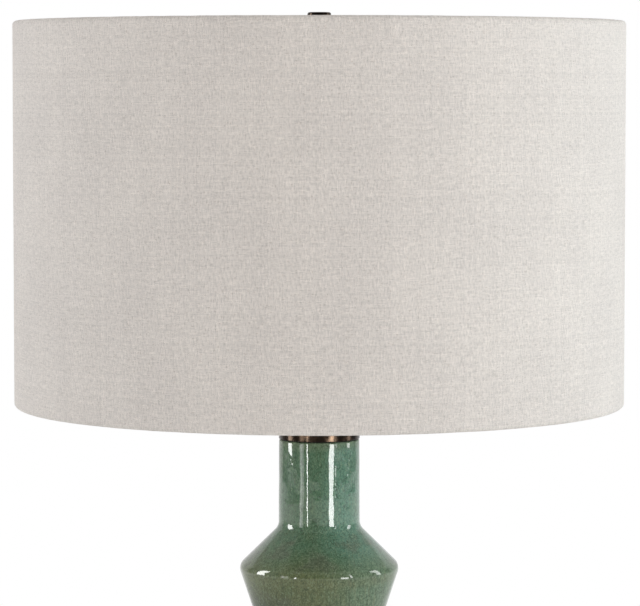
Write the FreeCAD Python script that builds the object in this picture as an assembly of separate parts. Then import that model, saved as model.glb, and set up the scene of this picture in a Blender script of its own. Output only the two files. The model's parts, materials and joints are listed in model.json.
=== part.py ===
import FreeCAD, Part
import math
import os

V = FreeCAD.Vector

# ---------------------------------------------------------------------------
# Table lamp with a two-tier angular glazed body, a drum shade on a harp, and a
# rotary lamp holder. Millimetres, +Z up. The origin is on the table, under the
# centre of the base. -Y is the front, +Y the back, where the lead comes out.
# ---------------------------------------------------------------------------

# ---- driving dimensions ----------------------------------------------------
# drum shade, 16 in across and 10 in tall over its ring wires
SHADE_R = 203.2
SHADE_H = 255.3
SHADE_Z0 = 378.0
SHADE_Z1 = SHADE_Z0 + SHADE_H
FABRIC_T = 0.7
LINER_T = 0.8
RING_R = 2.15          # wire radius of the two shade rings
ROLL_R = 2.9           # outer radius of the cloth rolled over a ring
TAIL_L = 14.0          # how far the turned-in hem reaches below the ring's centre

# glazed body, outer profile (radius, height), bottom to top
FOOT_Z = 18.0
TAPER = math.tan(math.radians(18.3))
SLOPE = math.tan(math.radians(45.55))
NECK_TOP = (26.93, SHADE_Z0 - 23.3)
NECK_BASE = (27.26, SHADE_Z0 - 82.0)
UPPER_SHOULDER = (54.21, SHADE_Z0 - 108.4)
WAIST_R = 30.0
WAIST_Z = UPPER_SHOULDER[1] - (UPPER_SHOULDER[0] - WAIST_R) / TAPER
LOWER_SHOULDER_R = 100.0
LOWER_SHOULDER_Z = WAIST_Z - (LOWER_SHOULDER_R - WAIST_R) / SLOPE
FOOT_R = LOWER_SHOULDER_R - (LOWER_SHOULDER_Z - FOOT_Z) * TAPER
WALL = 5.5
MOUTH_R = 21.0         # opening in the top of the neck
FLOOR_HOLE_R = 35.0    # casting opening in the floor of the body
FLOOR_T = 7.0

# base
FELT_T = 2.0
PAN_R = 68.0
PAN_T = 1.5
GROMMET_Z = 9.5
GROMMET_BORE = 3.3

# threaded rod, 1/8 IP lamp pipe
ROD_R = 4.76
ROD_BORE = 3.3
ROD_Z0 = 8.0
ROD_Z1 = 388.5

# harp
HARP_WIRE_R = 2.2
LEG_X = 34.1
FERRULE_X = 32.0
SADDLE_Z = 376.0
SADDLE_T = 1.6
HARP_TOP = 613.0
STUD_R = 3.1
SEAT_Z = 616.0         # where the shade's hub rests on the swivel

# lamp holder and lamp
SOCKET_Z = 381.0
STEM_Z = 410.0
LAMP_Z = 419.0

# finial
FINIAL_Z = 617.6
FINIAL_TOP = 639.4
FINIAL_R = 7.9


# ---- helpers ---------------------------------------------------------------
def rounded(points, closed=True):
    """Edges of a polygon in the XZ plane. Each point is (x, z) or (x, z, radius)."""
    n = len(points)
    corners = []
    for i, p in enumerate(points):
        b = V(p[0], 0, p[1])
        rad = p[2] if len(p) > 2 else 0
        if rad <= 0 or (not closed and i in (0, n - 1)):
            corners.append((b, b, None))
            continue
        a = points[i - 1]
        c = points[(i + 1) % n]
        u = (V(a[0], 0, a[1]) - b).normalize()
        w = (V(c[0], 0, c[1]) - b).normalize()
        ang = u.getAngle(w)
        t = rad / math.tan(ang / 2)
        p0 = b + u * t
        p1 = b + w * t
        bis = (u + w).normalize()
        centre = b + bis * (rad / math.sin(ang / 2))
        corners.append((p0, p1, centre - bis * rad))
    edges = []
    for i in range(n):
        p0, p1, mid = corners[i]
        if mid is not None:
            edges.append(Part.Arc(p0, mid, p1).toShape())
        if i == n - 1 and not closed:
            break
        q0 = corners[(i + 1) % n][0]
        if (q0 - p1).Length > 1e-6:
            edges.append(Part.LineSegment(p1, q0).toShape())
    return edges


def lathe(points, axis_at=(0, 0)):
    face = Part.Face(Part.Wire(rounded(points)))
    s = face.revolve(V(0, 0, 0), V(0, 0, 1), 360)
    if s.Volume < 0:
        s.reverse()
    if axis_at != (0, 0):
        s.translate(V(axis_at[0], axis_at[1], 0))
    return Part.Solid(s) if s.ShapeType == "Shell" else s


def ring(r_out, r_in, z0, z1, f=0.0):
    return lathe([(r_in, z0), (r_out, z0, f), (r_out, z1, f), (r_in, z1)])


def hexagon(flats, z0, z1, bore, crown=0.6):
    """Hex nut: prism with its corners turned off by a shallow cone, and a bore."""
    rc = flats / 2 / math.cos(math.radians(30))
    pts = [V(rc * math.cos(math.radians(60 * k)), rc * math.sin(math.radians(60 * k)), z0) for k in range(7)]
    body = Part.Face(Part.makePolygon(pts)).extrude(V(0, 0, z1 - z0))
    blank = lathe([(0, z0), (rc - crown, z0), (rc + 0.3, z0 + crown * 0.7), (rc + 0.3, z1 - crown * 0.7), (rc - crown, z1), (0, z1)])
    body = body.common(blank)
    return body.cut(Part.makeCylinder(bore, z1 - z0 + 2, V(0, 0, z0 - 1)))


def offset_profile(points, d):
    """The polygon line (r, z) moved sideways by d, with mitred corners; d > 0 moves it towards the axis."""
    out = []
    segs = []
    for a, b in zip(points[:-1], points[1:]):
        dx, dz = b[0] - a[0], b[1] - a[1]
        k = math.hypot(dx, dz)
        nx, nz = -dz / k, dx / k
        segs.append(((a[0] + nx * d, a[1] + nz * d), (b[0] + nx * d, b[1] + nz * d)))
    out.append(segs[0][0])
    for (a, b), (c, e) in zip(segs[:-1], segs[1:]):
        den = (b[0] - a[0]) * (e[1] - c[1]) - (b[1] - a[1]) * (e[0] - c[0])
        t = ((c[0] - a[0]) * (e[1] - c[1]) - (c[1] - a[1]) * (e[0] - c[0])) / den
        out.append((a[0] + t * (b[0] - a[0]), a[1] + t * (b[1] - a[1])))
    out.append(segs[-1][1])
    return out


def one_solid(s):
    return s.Solids[0] if s.ShapeType != "Solid" and len(s.Solids) == 1 else s


parts = {}

# ---- base ------------------------------------------------------------------
# felt pad under the pan
parts["felt_pad"] = lathe([(0, 0), (PAN_R - 1.0, 0, 0.5), (PAN_R - 1.0, FELT_T), (0, FELT_T)])

# spun metal pan, upside down, with a small step that the glazed foot stands in
pan = lathe([
    (5.1, 16.5), (PAN_R - PAN_T, 16.5, 1.2), (PAN_R - PAN_T, FELT_T), (PAN_R, FELT_T),
    (PAN_R, FOOT_Z, 2.2), (5.1, FOOT_Z),
])
pan = pan.cut(Part.makeCylinder(5.0, 20, V(0, PAN_R - 10, GROMMET_Z), V(0, 1, 0)))
parts["base_pan"] = pan

# cast weight inside the pan: pocket below for the nut, and a slot to the back for the lead
weight = lathe([
    (5.4, 13.3), (17.0, 13.3), (17.0, FELT_T), (PAN_R - PAN_T - 1.0, FELT_T),
    (PAN_R - PAN_T - 1.0, 15.0, 1.0), (PAN_R - PAN_T - 3.0, 16.5), (5.4, 16.5),
])
weight = weight.cut(Part.makeBox(13.6, 60, 20, V(-6.8, 12, 0)).cut(Part.makeCylinder(14, 20, V(0, 0, 0))))
parts["base_weight"] = weight

# snap-in bushing for the lead, in the back wall of the pan
gy0, gy1 = PAN_R - 8.0, PAN_R + 2.0
bush = lathe([(GROMMET_BORE, gy0), (4.5, gy0), (5.3, gy0 + 4.6), (4.9, gy0 + 5.2), (4.9, PAN_R), (6.6, PAN_R, 0.3), (6.6, gy1, 0.8), (GROMMET_BORE, gy1, 0.6)])
bush.rotate(V(0, 0, 0), V(1, 0, 0), -90)
bush.translate(V(0, 0, GROMMET_Z))
# the flange's back follows the round wall
bush = bush.cut(Part.makeCylinder(PAN_R, 30, V(0, 0, -5)).cut(Part.makeCylinder(5.5, 30, V(0, PAN_R - 15, GROMMET_Z), V(0, 1, 0))))
parts["cord_grommet"] = one_solid(bush)

parts["bottom_washer"] = ring(11.0, 5.0, 12.3, 13.3, 0.2)
parts["bottom_nut"] = hexagon(14.3, 9.0, 12.3, 4.85)

# threaded rod through the whole lamp, hollow for the lead
parts["center_rod"] = ring(ROD_R, ROD_BORE, ROD_Z0, ROD_Z1, 0.3)

# disc that centres the rod and the pan in the hole in the body's floor
parts["centering_disc"] = ring(FLOOR_HOLE_R - 0.3, 4.95, FOOT_Z, FOOT_Z + 5.0, 0.6)

# ---- glazed body -----------------------------------------------------------
outer = [
    (FOOT_R, FOOT_Z),
    (LOWER_SHOULDER_R, LOWER_SHOULDER_Z),
    (WAIST_R, WAIST_Z),
    UPPER_SHOULDER,
    NECK_BASE,
    NECK_TOP,
]
radii = [3.0, 10.0, 12.0, 7.0, 8.0, 1.2]
inner = offset_profile(outer, WALL)
# the inside line starts on the floor and ends at the mouth
f_in = (inner[0][0] + (FOOT_Z + FLOOR_T - inner[0][1]) * TAPER, FOOT_Z + FLOOR_T)
profile = [(FLOOR_HOLE_R, FOOT_Z, 1.0)]
profile += [(p[0], p[1], r) for p, r in zip(outer, radii)]
profile += [(MOUTH_R, NECK_TOP[1], 1.0), (MOUTH_R, NECK_TOP[1] - 12.0, 1.5), (inner[4][0], NECK_TOP[1] - 14.0, 0)]
profile += [
    (inner[4][0], inner[4][1], radii[4] + WALL),
    (inner[3][0], inner[3][1], max(0.8, radii[3] - WALL)),
    (inner[2][0], inner[2][1], radii[2] + WALL),
    (inner[1][0], inner[1][1], radii[1] - WALL),
    (f_in[0], f_in[1], 4.0),
    (FLOOR_HOLE_R, FOOT_Z + FLOOR_T, 1.0),
]
parts["ceramic_body"] = lathe(profile)

# rubber plug in the mouth, with a thin flange under the cap
zt = NECK_TOP[1]
parts["neck_gasket"] = lathe([(4.95, zt - 8.0), (20.7, zt - 8.0, 1.0), (20.7, zt), (25.6, zt), (25.6, zt + 0.4), (4.95, zt + 0.4)])

# turned metal cap on the neck
c0 = zt + 0.4
parts["neck_cap"] = lathe([
    (26.1, c0), (27.1, c0, 0.3), (27.1, c0 + 6.6, 2.8), (11.0, c0 + 10.3, 1.0), (5.0, c0 + 10.3),
    (5.0, c0 + 9.2), (10.9, c0 + 9.2, 1.0), (26.1, c0 + 5.8, 1.8),
])
z = c0 + 10.3
parts["check_ring"] = ring(9.6, 5.0, z, z + 3.0, 1.0)
parts["spacer_tube"] = ring(6.6, 4.95, z + 3.0, SADDLE_Z, 0.2)

# ---- harp saddle: a flat strip, its ends turned up into tabs -----------------
bend = 6.0
tab_x = 30.8
mid = SADDLE_Z + SADDLE_T / 2
h = SADDLE_T / 2
strip_pts = [
    (-tab_x - h, 394.5), (-tab_x - h, mid - h, bend + h), (tab_x + h, mid - h, bend + h), (tab_x + h, 394.5),
    (tab_x - h, 394.5), (tab_x - h, mid + h, bend - h), (-tab_x + h, mid + h, bend - h), (-tab_x + h, 394.5),
]
strip = Part.Face(Part.Wire(rounded(strip_pts))).extrude(V(0, 10.0, 0))
strip.translate(V(0, -5.0, 0))
for sx in (-1, 1):
    for sy in (-1, 1):
        # the tab narrows above its shoulders
        strip = strip.cut(Part.makeBox(8, 4, 20, V(sx * tab_x - 4, 3.0 if sy > 0 else -7.0, 385.0)))
boss = Part.makeCylinder(9.0, SADDLE_T, V(0, 0, SADDLE_Z))
strip = strip.fuse(boss).removeSplitter()
parts["harp_saddle"] = one_solid(strip.cut(Part.makeCylinder(4.95, 10, V(0, 0, SADDLE_Z - 4))))

parts["saddle_nut"] = hexagon(14.3, SADDLE_Z + SADDLE_T, SOCKET_Z, 4.85, 0.5)

# ---- lamp holder -------------------------------------------------------------
s = SOCKET_Z
# cap with its threaded hub
cap = lathe([
    (4.85, s), (8.0, s, 0.5), (8.0, s + 8.0, 1.5), (18.0, s + 14.5, 3.0), (19.5, s + 17.0, 1.5), (19.5, s + 24.0), (18.75, s + 24.0),
    (18.75, s + 17.6), (16.0, s + 17.6), (15.0, s + 14.4, 1.5), (7.0, s + 9.6, 1.0), (4.85, s + 9.0),
])
cap = cap.cut(Part.makeCylinder(1.55, 10, V(0, 3, s + 4.0), V(0, 1, 0)))
parts["socket_cap"] = one_solid(cap)
# set screw in the hub, holding the rod from turning
screw = Part.makeCylinder(1.5, 3.2, V(0, 4.8, s + 4.0), V(0, 1, 0)).fuse(Part.makeCylinder(2.4, 1.6, V(0, 8.0, s + 4.0), V(0, 1, 0)))
screw = screw.cut(Part.makeBox(0.6, 1.0, 6, V(-0.3, 8.9, s + 1)))
parts["cap_set_screw"] = one_solid(screw.removeSplitter())

# moulded insulating body that carries the switch
body = lathe([(3.5, 398.6), (17.2, 398.6, 0.3), (17.2, 401.2, 0.3), (14.4, 401.2), (14.4, 416.0, 0.6), (3.5, 416.0)])
body = body.cut(Part.makeCylinder(2.06, 12, V(0, -6.5, STEM_Z), V(0, -1, 0)))
body = body.cut(Part.makeBox(5, 30, 7.4, V(10.4, -15, 401.6))).cut(Part.makeBox(5, 30, 7.4, V(-15.4, -15, 401.6)))
parts["socket_body"] = one_solid(body)
# two terminal screws, one on each side
terms = []
for sx in (-1, 1):
    t = Part.makeCylinder(2.9, 1.4, V(sx * 10.4, 0, 405.3), V(sx, 0, 0)).fuse(Part.makeCylinder(2.6, 0.9, V(sx * 11.8, 0, 405.3), V(sx, 0, 0)))
    t = t.cut(Part.makeBox(1.2, 6, 0.7, V(sx * 12.4 - 0.6, -3, 404.95)))
    terms.append(one_solid(t.removeSplitter()))
parts["socket_terminals"] = Part.makeCompound(terms)


def screw_line(r_mean, amp, z0, pitch, turns, per=8):
    pts = []
    for k in range(turns * per + 1):
        pts.append(V(r_mean + amp * math.cos(2 * math.pi * k / per), 0, z0 + pitch * k / per))
    c = Part.BSplineCurve()
    c.interpolate(pts)
    return c.toShape(), pts[0], pts[-1]


def screw_tube(r_mean, amp, z0, pitch, turns, wall, lead0, lead1):
    """Thin rolled tube whose wall waves like a lamp thread, with plain ends of lengths lead0 (below) and lead1."""
    e_out, a, b = screw_line(r_mean, amp, z0, pitch, turns)
    e_in, a2, b2 = screw_line(r_mean - wall, amp, z0, pitch, turns)
    corners = [b, V(b.x, 0, b.z + lead1), V(b2.x, 0, b2.z + lead1), b2]
    edges = [e_out, e_in]
    edges += [Part.LineSegment(p, q).toShape() for p, q in zip(corners[:-1], corners[1:])]
    corners = [a2, V(a2.x, 0, a2.z - lead0), V(a.x, 0, a.z - lead0), a] if lead0 > 0 else [a2, a]
    edges += [Part.LineSegment(p, q).toShape() for p, q in zip(corners[:-1], corners[1:])]
    face = Part.Face(Part.Wire(Part.__sortEdges__(edges)))
    return face.revolve(V(0, 0, 0), V(0, 0, 1), 360)


PITCH = 3.629
THREAD_Z = LAMP_Z + 6.0 - 2 * PITCH      # the rolled threads of lamp and holder are in step
tube = screw_tube(13.45, 0.5, THREAD_Z, PITCH, 5, 0.35, THREAD_Z - 416.0, 1.2)
seat = ring(13.62, 9.6, 416.0, 416.4)
parts["socket_screw_shell"] = one_solid(tube.fuse(seat).removeSplitter())
# centre contact: a sprung tongue above the body
tongue = lathe([(0, 418.0), (3.2, 418.0, 0.2), (3.2, 418.9, 0.3), (0, 418.9)])
tongue = tongue.fuse(Part.makeBox(3.0, 9.0, 0.5, V(-1.5, 0, 417.7))).fuse(Part.makeBox(3.0, 0.6, 2.2, V(-1.5, 8.4, 416.0)))
parts["socket_contact"] = one_solid(tongue.removeSplitter())


def notched(shape, z_top, width):
    """U-shaped notch, open at the bottom, where the switch stem comes out at the front."""
    cut = Part.makeBox(width, 12, z_top - width / 2 - 380, V(-width / 2, -24, 380)).fuse(
        Part.makeCylinder(width / 2, 12, V(0, -24, z_top - width / 2), V(0, 1, 0)))
    return shape.cut(cut)


parts["socket_insulator"] = one_solid(notched(ring(18.0, 17.3, 398.6, 438.5), 414.2, 7.0))
shell = lathe([
    (18.1, 399.0), (18.7, 399.0), (18.7, 407.0), (19.1, 408.4, 0.8), (18.7, 409.8), (18.7, 438.6, 0.5), (19.4, 440.0, 0.6), (18.8, 441.4, 0.5),
    (18.1, 440.2, 0.5),
])
parts["socket_shell"] = one_solid(notched(shell, 414.6, 7.6))

# ---- switch: stem and ribbed knob, turning about a line to the front -----------
stem = Part.makeCylinder(2.0, 20.0, V(0, -7.0, STEM_Z), V(0, -1, 0))
collar = Part.makeCylinder(3.1, 5.6, V(0, -14.6, STEM_Z), V(0, -1, 0))
stem = stem.fuse(collar).removeSplitter()
knob = lathe([(0, 0), (4.6, 0, 0.4), (5.4, 2.0), (5.4, 3.0), (6.6, 4.0, 0.5), (6.6, 16.5, 1.4), (0, 17.2)])
for k in range(16):
    a = 2 * math.pi * k / 16
    knob = knob.cut(Part.makeCylinder(0.55, 11.5, V(6.75 * math.cos(a), 6.75 * math.sin(a), 4.6)))
knob = knob.cut(Part.makeCylinder(2.0, 6.0, V(0, 0, -1)))
knob.rotate(V(0, 0, 0), V(1, 0, 0), 90)
knob.translate(V(0, -22.0, STEM_Z))
parts["switch_stem"] = one_solid(stem)
parts["switch_knob"] = one_solid(knob)

# ---- lamp (bulb) ----------------------------------------------------------------
z = LAMP_Z
parts["bulb_tip"] = lathe([(0, z), (3.6, z, 0.6), (4.6, z + 1.3), (0, z + 1.3)])
parts["bulb_base_insulator"] = lathe([(0, z + 1.3), (4.8, z + 1.3), (11.2, z + 4.3, 0.8), (11.2, z + 6.0), (0, z + 6.0)])
parts["bulb_base"] = screw_tube(12.6, 0.5, z + 6.0, PITCH, 4, 0.35, 0, 1.4)
glass_c = 495.0
glass_R = 30.0
# outer line of the glass: neck, flank, then a ball
gp = [V(11.3, 0, z + 17.0), V(11.5, 0, z + 19.8), V(12.3, 0, z + 22.6), V(13.6, 0, z + 27.0), V(16.4, 0, z + 34.5), V(20.4, 0, z + 44.0), V(24.7, 0, z + 54.0)]
a0 = math.radians(-25)
for k in range(0, 6):
    a = a0 + (math.pi / 2 - a0) * k / 5
    gp.append(V(glass_R * math.cos(a) if k < 5 else 0, 0, glass_c + glass_R * math.sin(a)))


def bspline(points):
    c = Part.BSplineCurve()
    c.interpolate(points)
    return c


def smooth_line(points, end_tangent=None, start_tangent=None):
    c = Part.BSplineCurve()
    if end_tangent is None:
        c.interpolate(points)
    else:
        c.interpolate(Points=points, InitialTangent=start_tangent, FinalTangent=end_tangent)
    return c


outer_c = smooth_line(gp, V(-1, 0, 0), V(0, 0, 1))
GLASS_T = 0.9
inner_pts = []
for p in gp:
    u = outer_c.parameter(p)
    t = outer_c.tangent(u)[0]
    n = V(-t.z, 0, t.x)
    q = p + n * GLASS_T
    inner_pts.append(V(max(q.x, 0), 0, q.z))
inner_pts[-1] = V(0, 0, gp[-1].z - GLASS_T)
inner_c = smooth_line(inner_pts, V(-1, 0, 0), V(0, 0, 1))
edges = [outer_c.toShape(), Part.LineSegment(gp[-1], inner_pts[-1]).toShape(), inner_c.toShape(), Part.LineSegment(inner_pts[0], gp[0]).toShape()]
glass = Part.Face(Part.Wire(Part.__sortEdges__(edges))).revolve(V(0, 0, 0), V(0, 0, 1), 360)
parts["bulb_glass"] = glass
# glass stem with its two support wires and the coil they carry
parts["bulb_stem"] = lathe([(0, z + 17.0), (10.3, z + 17.0, 0.4), (10.3, z + 18.4, 0.6), (5.2, z + 24.0, 2.0), (3.4, z + 44.0, 1.0), (0, z + 46.0)])
coil = Part.makeCylinder(0.9, 20.2, V(-10.1, 0, z + 70.4), V(1, 0, 0))
wires = []
for sx in (-1, 1):
    e = rounded([(sx * 2.0, z + 44.0), (sx * 2.0, z + 48.5, 2.0), (sx * 10.6, z + 70.4)], closed=False)
    w = Part.Wire(e)
    prof = Part.Wire([Part.Circle(V(sx * 2.0, 0, z + 44.0), V(0, 0, 1), 0.35).toShape()])
    wire = w.makePipeShell([prof], True, False).cut(parts["bulb_stem"]).cut(coil)
    wires.append(max(wire.Solids, key=lambda q: q.Volume))
parts["bulb_supports"] = Part.makeCompound(wires)
parts["bulb_filament"] = coil

# ---- harp -----------------------------------------------------------------------
zc = HARP_TOP - 1.4
half = [(LEG_X, 385.6), (LEG_X, 419.0, 22.0), (56.5, 452.0, 60.0), (55.0, 520.0, 250.0), (34.0, 585.0, 120.0), (17.0, zc, 14.0)]
line = half + [(-p[0],) + tuple(p[1:]) for p in reversed(half)]
wire = Part.Wire(rounded(line, closed=False))
prof = Part.Wire([Part.Circle(V(LEG_X, 0, 385.6), V(0, 0, 1), HARP_WIRE_R).toShape()])
loop = wire.makePipeShell([prof], True, False)
pad = lathe([(0, HARP_TOP - 2.8), (7.5, HARP_TOP - 2.8, 0.4), (7.5, HARP_TOP, 0.4), (0, HARP_TOP)])
loop = loop.cut(Part.makeBox(15.2, 10, 3, V(-7.6, -5, HARP_TOP))).cut(Part.makeBox(15.2, 10, 3, V(-7.6, -5, HARP_TOP - 5.8)))
loop = loop.fuse(pad).removeSplitter()
loop = loop.cut(Part.makeCylinder(2.55, 10, V(0, 0, HARP_TOP - 6)))
parts["harp_loop"] = one_solid(loop)

for side, sx in (("left", -1), ("right", 1)):
    f = lathe([(4.6, 385.1), (5.9, 385.1, 0.4), (5.9, 387.3, 0.4), (5.5, 388.0), (5.5, 393.2), (5.9, 393.9, 0.4), (5.9, 396.1, 0.4), (4.6, 396.1)], (sx * FERRULE_X, 0))
    parts["harp_ferrule_" + side] = f

# swivel: rivet head, shank in the pad, seat and threaded stud for the finial
parts["harp_stud"] = lathe([
    (0, HARP_TOP - 4.6), (3.6, HARP_TOP - 4.6, 1.0), (4.2, HARP_TOP - 2.9), (2.5, HARP_TOP - 2.9), (2.5, HARP_TOP + 0.1),
    (6.2, HARP_TOP + 0.1, 0.4), (6.2, HARP_TOP + 1.2, 0.4), (8.5, HARP_TOP + 1.6, 0.3), (8.5, SEAT_Z, 0.3), (STUD_R, SEAT_Z), (STUD_R, 628.5, 0.6), (0, 628.5),
])

# ---- shade ----------------------------------------------------------------------
rc = SHADE_R - ROLL_R                     # where the ring wire's centre runs
zcT, zcB = SHADE_Z1 - ROLL_R, SHADE_Z0 + ROLL_R
ro, ri = SHADE_R, SHADE_R - FABRIC_T      # cloth, outer and inner face
rl = ri - LINER_T                         # inner face of the liner
a = math.radians(210)
d = (0.5, -math.sqrt(3) / 2)


def hem(zc, s):
    """Points of one rolled hem, outside first; s is 1 at the top ring and -1 at the bottom ring."""
    po = (rc + ROLL_R * math.cos(a), zc + s * ROLL_R * math.sin(a))
    pi = (rc + (ROLL_R - FABRIC_T) * math.cos(a), zc + s * (ROLL_R - FABRIC_T) * math.sin(a))
    ko = (rl - FABRIC_T, po[1] + s * d[1] * (rl - FABRIC_T - po[0]) / d[0])
    ki = (rl, pi[1] + s * d[1] * (rl - pi[0]) / d[0])
    end = zc - s * TAIL_L
    top_o = V(rc, 0, zc + s * ROLL_R)
    top_i = V(rc, 0, zc + s * (ROLL_R - FABRIC_T))
    e = [
        Part.Arc(V(ro, 0, zc), V(rc + ROLL_R * math.cos(math.radians(105)), 0, zc + s * ROLL_R * math.sin(math.radians(105))), V(po[0], 0, po[1])).toShape(),
        Part.LineSegment(V(po[0], 0, po[1]), V(ko[0], 0, ko[1])).toShape(),
        Part.LineSegment(V(ko[0], 0, ko[1]), V(ko[0], 0, end)).toShape(),
        Part.LineSegment(V(ko[0], 0, end), V(rl, 0, end)).toShape(),
        Part.LineSegment(V(rl, 0, end), V(ki[0], 0, ki[1])).toShape(),
        Part.LineSegment(V(ki[0], 0, ki[1]), V(pi[0], 0, pi[1])).toShape(),
        Part.Arc(V(pi[0], 0, pi[1]), V(rc + (ROLL_R - FABRIC_T) * math.cos(math.radians(105)), 0, zc + s * (ROLL_R - FABRIC_T) * math.sin(math.radians(105))), V(ri, 0, zc)).toShape(),
    ]
    return e


edges = hem(zcT, 1) + hem(zcB, -1) + [
    Part.LineSegment(V(ro, 0, zcB), V(ro, 0, zcT)).toShape(),
    Part.LineSegment(V(ri, 0, zcB), V(ri, 0, zcT)).toShape(),
]
cloth = Part.Face(Part.Wire(Part.__sortEdges__(edges))).revolve(V(0, 0, 0), V(0, 0, 1), 360)

# spider: three bent wires from the hub to the top ring, one of them to the back
ARM_Z = SEAT_Z + 2.0
ARM_R = 2.0
arms = []
slots = []
for k in range(3):
    ang = 90 + 120 * k
    line = [(10.5, ARM_Z), (183.0, ARM_Z, 12.0), (rc - 0.6, zcT - 0.4)]
    w = Part.Wire(rounded(line, closed=False))
    p = Part.Wire([Part.Circle(V(10.5, 0, ARM_Z), V(1, 0, 0), ARM_R).toShape()])
    arm = w.makePipeShell([p], True, False)
    p2 = Part.Wire([Part.Circle(V(10.5, 0, ARM_Z), V(1, 0, 0), ARM_R + 0.35).toShape()])
    slot = w.makePipeShell([p2], True, False)
    for shape, into in ((arm, arms), (slot, slots)):
        shape.rotate(V(0, 0, 0), V(0, 0, 1), ang)
        into.append(shape)
top_ring = Part.makeTorus(rc, RING_R, V(0, 0, zcT), V(0, 0, 1))
parts["shade_top_ring"] = top_ring
parts["shade_bottom_ring"] = Part.makeTorus(rc, RING_R, V(0, 0, zcB), V(0, 0, 1))
# the hub: a washer that the arms are welded on
HUB_Z = SEAT_Z + 0.05
hub = ring(16.0, 5.5, HUB_Z, HUB_Z + 1.5, 0.3)
arms = [max(x.cut(top_ring).cut(hub).Solids, key=lambda q: q.Volume) for x in arms]
for x in slots:
    cloth = cloth.cut(x)
parts["shade_fabric"] = one_solid(cloth)
parts["shade_liner"] = ring(ri, rl, zcB + 2.0, zcT - 2.0)
parts["spider_arms"] = Part.makeCompound(arms)
parts["spider_hub"] = hub

# ---- finial -----------------------------------------------------------------------
fz = FINIAL_Z
parts["finial"] = lathe([
    (STUD_R + 0.1, fz), (7.2, fz, 0.6), (7.2, fz + 2.6, 0.8), (4.7, fz + 3.6, 1.2), (4.7, fz + 7.0, 1.4), (FINIAL_R, fz + 9.6, 1.0),
    (FINIAL_R, FINIAL_TOP, 1.3), (0, FINIAL_TOP), (0, fz + 13.2), (STUD_R + 0.1, fz + 12.0),
])

# ---- write ------------------------------------------------------------------------
os.makedirs("parts", exist_ok=True)
for name, shape in sorted(parts.items()):
    solids = shape.Solids
    ok = all(q.isValid() and q.Volume > 0 for q in solids) and len(solids) > 0
    bb = shape.BoundBox
    print("%-22s solids %d %s vol %.1f  x %.1f..%.1f y %.1f..%.1f z %.1f..%.1f" % (
        name, len(solids), "ok " if ok else "BAD", shape.Volume, bb.XMin, bb.XMax, bb.YMin, bb.YMax, bb.ZMin, bb.ZMax))
    shape.exportStep(os.path.join("parts", name + ".step"))
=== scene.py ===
import json
import math

import bpy
import numpy as np
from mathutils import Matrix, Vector, noise as mnoise


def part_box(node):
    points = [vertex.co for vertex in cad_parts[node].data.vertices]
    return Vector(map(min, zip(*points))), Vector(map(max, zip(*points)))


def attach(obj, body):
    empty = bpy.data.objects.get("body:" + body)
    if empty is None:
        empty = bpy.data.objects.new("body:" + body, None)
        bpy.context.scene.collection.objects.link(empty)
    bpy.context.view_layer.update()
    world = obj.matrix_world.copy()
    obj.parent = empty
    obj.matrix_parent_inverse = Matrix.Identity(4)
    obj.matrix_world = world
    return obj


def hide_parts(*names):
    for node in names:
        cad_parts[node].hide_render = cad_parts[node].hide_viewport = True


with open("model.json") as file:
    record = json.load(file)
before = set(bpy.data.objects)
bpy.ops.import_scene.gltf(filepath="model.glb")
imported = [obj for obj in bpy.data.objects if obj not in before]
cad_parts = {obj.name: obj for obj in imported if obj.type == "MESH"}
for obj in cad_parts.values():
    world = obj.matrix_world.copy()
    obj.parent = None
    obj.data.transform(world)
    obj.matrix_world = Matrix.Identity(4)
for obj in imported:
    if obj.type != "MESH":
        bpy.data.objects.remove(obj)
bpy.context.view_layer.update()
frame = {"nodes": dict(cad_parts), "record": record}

nodes = frame["nodes"]
scene = bpy.context.scene
MM = 0.001

# ---------------------------------------------------------------------------
# dimensions, in millimetres (the same as the construction's)
# ---------------------------------------------------------------------------
SHADE_R = 203.2
SHADE_Z0 = round(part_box("shade_fabric")[0].z * 1000, 2)
SHADE_Z1 = round(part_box("shade_fabric")[1].z * 1000, 2)
FABRIC_T = 0.7
LINER_T = 0.8
ROLL_R = 2.9
TAIL_L = 14.0
RC = SHADE_R - ROLL_R
ZT, ZB = SHADE_Z1 - ROLL_R, SHADE_Z0 + ROLL_R
RI = SHADE_R - FABRIC_T
RL = RI - LINER_T

FOOT_Z = 18.0
TAPER = math.tan(math.radians(18.3))
SLOPE = math.tan(math.radians(45.55))
NECK_TOP = (26.93, SHADE_Z0 - 23.3)
NECK_BASE = (27.26, SHADE_Z0 - 82.0)
UPPER = (54.21, SHADE_Z0 - 108.4)
WAIST_R = 30.0
WAIST_Z = UPPER[1] - (UPPER[0] - WAIST_R) / TAPER
LOWER_R = 100.0
LOWER_Z = WAIST_Z - (LOWER_R - WAIST_R) / SLOPE
FOOT_R = LOWER_R - (LOWER_Z - FOOT_Z) * TAPER
WALL = 5.5
MOUTH_R = 21.0
FLOOR_HOLE_R = 35.0
FLOOR_T = 7.0


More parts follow.
